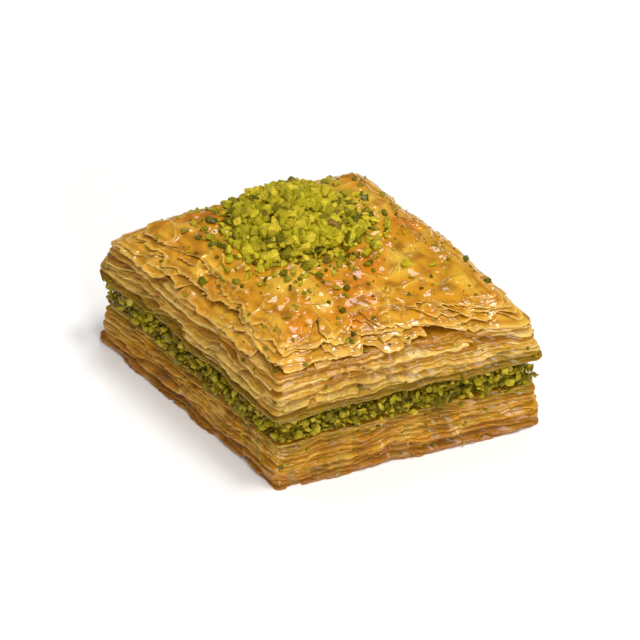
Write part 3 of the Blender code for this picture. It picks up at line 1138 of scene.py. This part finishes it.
@dataclass
class Pistachio:
    """All the nut: the filling between the stacks, the heap on the crust and the loose crumbs round it.

    Attributes:
        outline: The four cuts.
        crust: The crust that the heap lies on.
        heap: Where the heap lies.
        ground: What the crumbs land on and stick to.
        filling_floor: Height of the filling's underside.
        filling_height: Thickness of the filling.
        filling_inset: How far the filling stands in from the cuts.
        filling_bits: How many grains show in the filling.
        heap_bits: How many grains the heap has.
        loose_crumbs: How many crumbs are strewn over the crust.
        dust: How many of the finest specks are strewn over it.
        side_crumbs: How many crumbs stick to the cut sides.
        clear_of_cut: How far in from the cuts the heap's grains stay.
        crumbs_clear_of_cut: How far in from the cuts the loose crumbs stay.
    """

    outline: Diamond
    crust: Crust
    heap: HeapShape
    ground: Ground
    filling_floor: float = 8.8 * MM
    filling_height: float = 4.6 * MM
    filling_inset: float = 1.35 * MM
    filling_bits: int = 2200
    heap_bits: int = 1250
    loose_crumbs: int = 540
    dust: int = 300
    side_crumbs: int = 850
    clear_of_cut: float = 3.5 * MM
    crumbs_clear_of_cut: float = 1.2 * MM

    def build(self) -> None:
        """Makes the filling, the heap and the crumbs."""
        self.build_filling_core()
        self.build_filling()
        self.build_heap_core()
        self.build_heap()
        self.build_crumbs()
        self.build_side_crumbs()

    def build_filling_core(self) -> None:
        """Makes the paste that the filling's grains are set in."""
        columns, rows = 300, 8
        work = bmesh.new()
        layer = paint(work)
        bmesh.ops.create_grid(work, x_segments=columns, y_segments=rows, size=0.5)
        for vert in work.verts:
            turn = round((vert.co.x + 0.5) * columns) % columns / columns
            share = vert.co.y + 0.5
            edge = self.outline.at(turn)
            level = self.filling_floor + self.filling_height * share
            lumps = noise.noise(Vector((edge.x, edge.y, level)) / (1.4 * MM))
            spot = self.outline.inward(edge, self.filling_inset + 0.5 * MM + 0.35 * MM * lumps)
            vert.co = Vector((spot.x, spot.y, level))
            colour = blend(Palette.OLIVE.colour, Palette.GREEN_SYRUP.colour, 0.4 + lumps)
            vert[layer] = (*colour, 1.0)
        close_up(work)
        piece = add_piece(work, "filling_paste", WET_NUT, smooth=True)
        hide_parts("pistachio_filling")

    def build_filling(self) -> None:
        """Sets the grains that show along the four cuts."""
        bits = NutBits(seed=61)
        draw = bits.draw
        for k in range(self.filling_bits):
            turn = (k + draw.random()) / self.filling_bits
            edge = self.outline.at(turn)
            length = (0.55 + 1.5 * draw.random() ** 1.3) * MM
            held_back = 0.4 * MM * (1 - self.outline.off_the_tips(edge.x, edge.y))
            inset = self.filling_inset + held_back + draw.uniform(-0.85, 0.6) * MM
            spot = self.outline.inward(edge, inset)
            level = self.filling_floor + draw.uniform(0.06, 0.96) * self.filling_height
            cut = draw.choice((Cut.CHUNK, Cut.CHUNK, Cut.FLAKE, Cut.SLIVER))
            colour = blend(bits.nut_colour(dark=0.4), Palette.GREEN_SYRUP.colour, 0.35)
            bits.add(cut, Vector((spot.x, spot.y, level)), length, 1.2, colour)
        piece = bits.finish("filling_grains", WET_NUT)

    def build_heap_core(self) -> None:
        """Makes the inside of the heap, which shows between its grains, in dark olive as painted shade."""
        work = bmesh.new()
        layer = paint(work)
        bmesh.ops.create_icosphere(work, subdivisions=5, radius=1.0)
        for vert in work.verts:
            x = self.heap.middle.x + vert.co.x * self.heap.radii[0] * 0.92
            y = self.heap.middle.y + vert.co.y * self.heap.radii[1] * 0.92
            ground = self.crust.height(x, y)
            lumps = noise.noise(Vector((x, y, vert.co.z * MM)) / (1.6 * MM))
            rise = 0.72 * self.heap.height(x, y) + 0.3 * MM * lumps * abs(vert.co.z)
            vert.co = Vector((x, y, ground - 0.1 * MM + (rise if vert.co.z > 0 else 0.0)))
            # Painted shade: dark olive and moss for the shade deep between the grains.
            vert[layer] = (*blend(Palette.OLIVE.colour, Palette.MOSS.colour, 0.3 + lumps), 1.0)
        bmesh.ops.recalc_face_normals(work, faces=work.faces)
        piece = add_piece(work, "heap_core", DRY_NUT, smooth=True)
        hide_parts("pistachio_heap")

    def build_heap(self) -> None:
        """Piles the dry chopped nut."""
        bits = NutBits(seed=73)
        draw = bits.draw
        for k in range(self.heap_bits):
            strewn = draw.random() < 0.2
            share = 0.98 + draw.expovariate(4.5) if strewn else math.sqrt(draw.random())
            angle = k * GOLDEN_ANGLE
            reach = share * (1 + 0.13 * math.sin(3 * angle + 1.0))
            x = self.heap.middle.x + self.heap.radii[0] * reach * math.cos(angle)
            y = self.heap.middle.y + self.heap.radii[1] * reach * math.sin(angle)
            length = (1.4 + 1.7 * draw.random() ** 1.3) * MM * (0.7 if strewn else 1.0)
            landing = self.ground.below(x, y)
            if landing is None or self.outline.from_cut(x, y)[0] < self.clear_of_cut:
                continue
            pile = self.heap.height(x, y)
            clump = 1 + 0.4 * waver(x, y, 23.1, 2.8 * MM)
            rise = draw.uniform(0.7, 1.07)
            level = landing.z + 0.15 * length + 0.8 * pile * clump * rise
            cut = draw.choice((Cut.SLIVER, Cut.CHUNK, Cut.CHUNK, Cut.FLAKE))
            shade = 0.08 + 0.18 * (self.heap.rise - pile) / self.heap.rise
            # Painted shade: grains set low in the pile or in hollows between clumps are tinted towards moss.
            painted_gap_shade = 1.8 * (0.97 - rise) + 1.4 * (1 - clump) if pile > 0 else 0.0
            tilt = 0.9 if pile > 0 else 0.4
            colour = blend(bits.nut_colour(dark=shade), Palette.MOSS.colour, painted_gap_shade)
            # Painted highlight: grains on the raised clumps are tinted towards yellow, as where light falls.
            colour = blend(colour, Palette.YELLOW.colour, 0.9 * (clump - 1))
            bits.add(cut, Vector((x, y, level)), length, tilt, colour)
        piece = bits.finish("heap_grains", DRY_NUT)

    def build_crumbs(self) -> None:
        """Scatters the loose crumbs and the dust that stick to the glaze, thicker round the heap."""
        bits = NutBits(seed=89)
        draw = bits.draw
        for k in range(self.loose_crumbs + self.dust):
            fine = k >= self.loose_crumbs
            if k % 2:
                angle = draw.uniform(0, math.tau)
                reach = 1.0 + draw.expovariate(3.0)
                x = self.heap.middle.x + self.heap.radii[0] * reach * math.cos(angle)
                y = self.heap.middle.y + self.heap.radii[1] * reach * math.sin(angle)
            else:
                reach, angle = math.sqrt(draw.random()), draw.uniform(0, math.tau)
                x = reach * self.outline.half_long * math.cos(angle)
                y = reach * self.outline.half_short * math.sin(angle)
            depth, _ = self.outline.from_cut(x, y)
            if depth < self.crumbs_clear_of_cut or self.heap.share(x, y) < 0.98:
                continue
            near = math.exp(-max(0.0, self.heap.share(x, y) - 1) * 2.5)
            size = draw.uniform(0.25, 0.5) if fine else 0.55 + 1.0 * draw.random() ** 1.6
            length = size * MM * (1 + 0.5 * near)
            cut = draw.choice((Cut.CHUNK, Cut.FLAKE, Cut.SLIVER))
            colour = blend(bits.nut_colour(dark=0.4), Palette.WET_GREEN.colour, 0.55 * (1 - near))
            landing = self.ground.below(x, y)
            if landing is not None:
                bits.add(cut, landing + Vector((0, 0, 0.14 * length)), length, 0.5, colour)
        piece = bits.finish("loose_crumbs", WET_NUT)

    def build_side_crumbs(self) -> None:
        """Sticks crumbs to the cut sides, most of them on the filling's own level and just round it."""
        bits = NutBits(seed=97)
        draw = bits.draw
        middle = self.filling_floor + 0.5 * self.filling_height
        for _ in range(self.side_crumbs):
            edge = self.outline.at(draw.random())
            level = min(20.0 * MM, max(0.8 * MM, draw.gauss(middle, 4.2 * MM)))
            landing = self.ground.beside(edge, level)
            if landing is None:
                continue
            length = (0.35 + 0.85 * draw.random() ** 1.8) * MM
            outward = Vector((landing.x, landing.y, 0.0)).normalized()
            colour = blend(bits.nut_colour(dark=0.4), Palette.GREEN_SYRUP.colour, 0.3)
            cut = draw.choice((Cut.CHUNK, Cut.FLAKE))
            bits.add(cut, landing + outward * 0.1 * length, length, 1.2, colour)
        piece = bits.finish("side_crumbs", WET_NUT)


@dataclass
class Studio:
    """The pale floor, the soft overhead light and the camera.

    Attributes:
        azimuth: Where the camera stands round the piece, in degrees.
        elevation: How high it looks from, in degrees.
        distance: How far off it stands, in metres.
        frame_width: Width of the view at the piece, in metres.
        aim: The point that it looks at.
    """

    azimuth: float = 15.5
    elevation: float = 44.0
    distance: float = 1.5
    frame_width: float = 0.094
    aim: tuple[float, float, float] = (0.0, 0.0, 0.0125)

    def build(self) -> None:
        """Makes the floor, the lights and the camera."""
        self.build_floor()
        self.build_world()
        self.add_light("overhead_softbox", (0.1, -0.2, 0.6), 0.4, 1.35)
        self.add_light("key_lamp", (0.2, 0.0, 0.6), 0.15, 1.7)
        self.add_light("side_window", (0.42, -0.5, 0.3), 0.26, 1.9)
        self.add_light("back_lamp", (-0.2, 0.62, 0.6), 0.12, 0.45)
        self.add_light("sheen_lamp", (0.03, 0.24, 0.6), 0.12, 0.5)
        self.add_light("left_lamp", (-0.45, 0.06, 0.56), 0.1, 0.4)
        self.build_camera()
        bpy.context.scene.view_settings.view_transform = "Standard"

    def build_floor(self) -> None:
        """A wide pale floor, which isn't part of the object."""
        work = bmesh.new()
        bmesh.ops.create_grid(work, x_segments=1, y_segments=1, size=3.0)
        mesh = bpy.data.meshes.new("floor")
        work.to_mesh(mesh)
        work.free()
        paper = bpy.data.materials.new("white_paper")
        paper.use_nodes = True
        shader = paper.node_tree.nodes["Principled BSDF"]
        shader.inputs["Base Color"].default_value = (*linear("fcfbfa"), 1.0)
        shader.inputs["Roughness"].default_value = 0.9
        mesh.materials.append(paper)
        floor = bpy.data.objects.new("floor", mesh)
        bpy.context.scene.collection.objects.link(floor)

    def build_world(self) -> None:
        """An even, pale surround."""
        world = bpy.data.worlds.new("pale_surround")
        world.use_nodes = True
        shade = world.node_tree.nodes["Background"]
        shade.inputs["Color"].default_value = (1.0, 0.99, 0.975, 1.0)
        shade.inputs["Strength"].default_value = 0.2
        bpy.context.scene.world = world

    def add_light(self, name: str, place: tuple[float, float, float], size: float, power: float) -> None:
        """Adds a square soft light that faces the piece.

        Args:
            name: The light's name.
            place: Where it hangs, in metres.
            size: Its side, in metres.
            power: Its power, in watts.
        """
        lamp = bpy.data.lights.new(name, "AREA")
        lamp.shape = "SQUARE"
        lamp.size = size
        lamp.energy = power
        light = bpy.data.objects.new(name, lamp)
        light.location = place
        light.rotation_euler = (Vector(self.aim) - light.location).to_track_quat("-Z", "Y").to_euler()
        bpy.context.scene.collection.objects.link(light)

    def build_camera(self) -> None:
        """Sets a long lens at the photograph's viewing angle."""
        turn, rise = math.radians(self.azimuth), math.radians(self.elevation)
        back = Vector((math.sin(turn) * math.cos(rise), -math.cos(turn) * math.cos(rise), math.sin(rise)))
        eye = bpy.data.cameras.new("camera")
        eye.sensor_width = 36.0
        eye.lens = eye.sensor_width * self.distance / self.frame_width
        camera = bpy.data.objects.new("camera", eye)
        camera.location = Vector(self.aim) + back * self.distance
        camera.rotation_euler = (-back).to_track_quat("-Z", "Y").to_euler()
        bpy.context.scene.collection.objects.link(camera)
        bpy.context.scene.camera = camera


def main() -> None:
    """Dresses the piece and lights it."""
    logging.basicConfig(level=logging.INFO, format="%(message)s")
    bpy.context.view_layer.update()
    outline = Diamond()
    heap = HeapShape()
    crust = Crust(outline, heap)
    sheets = Phyllo(outline).build() + crust.build()
    Pistachio(outline, crust, heap, Ground(sheets)).build()
    Studio().build()


if __name__ == "__main__":
    main()
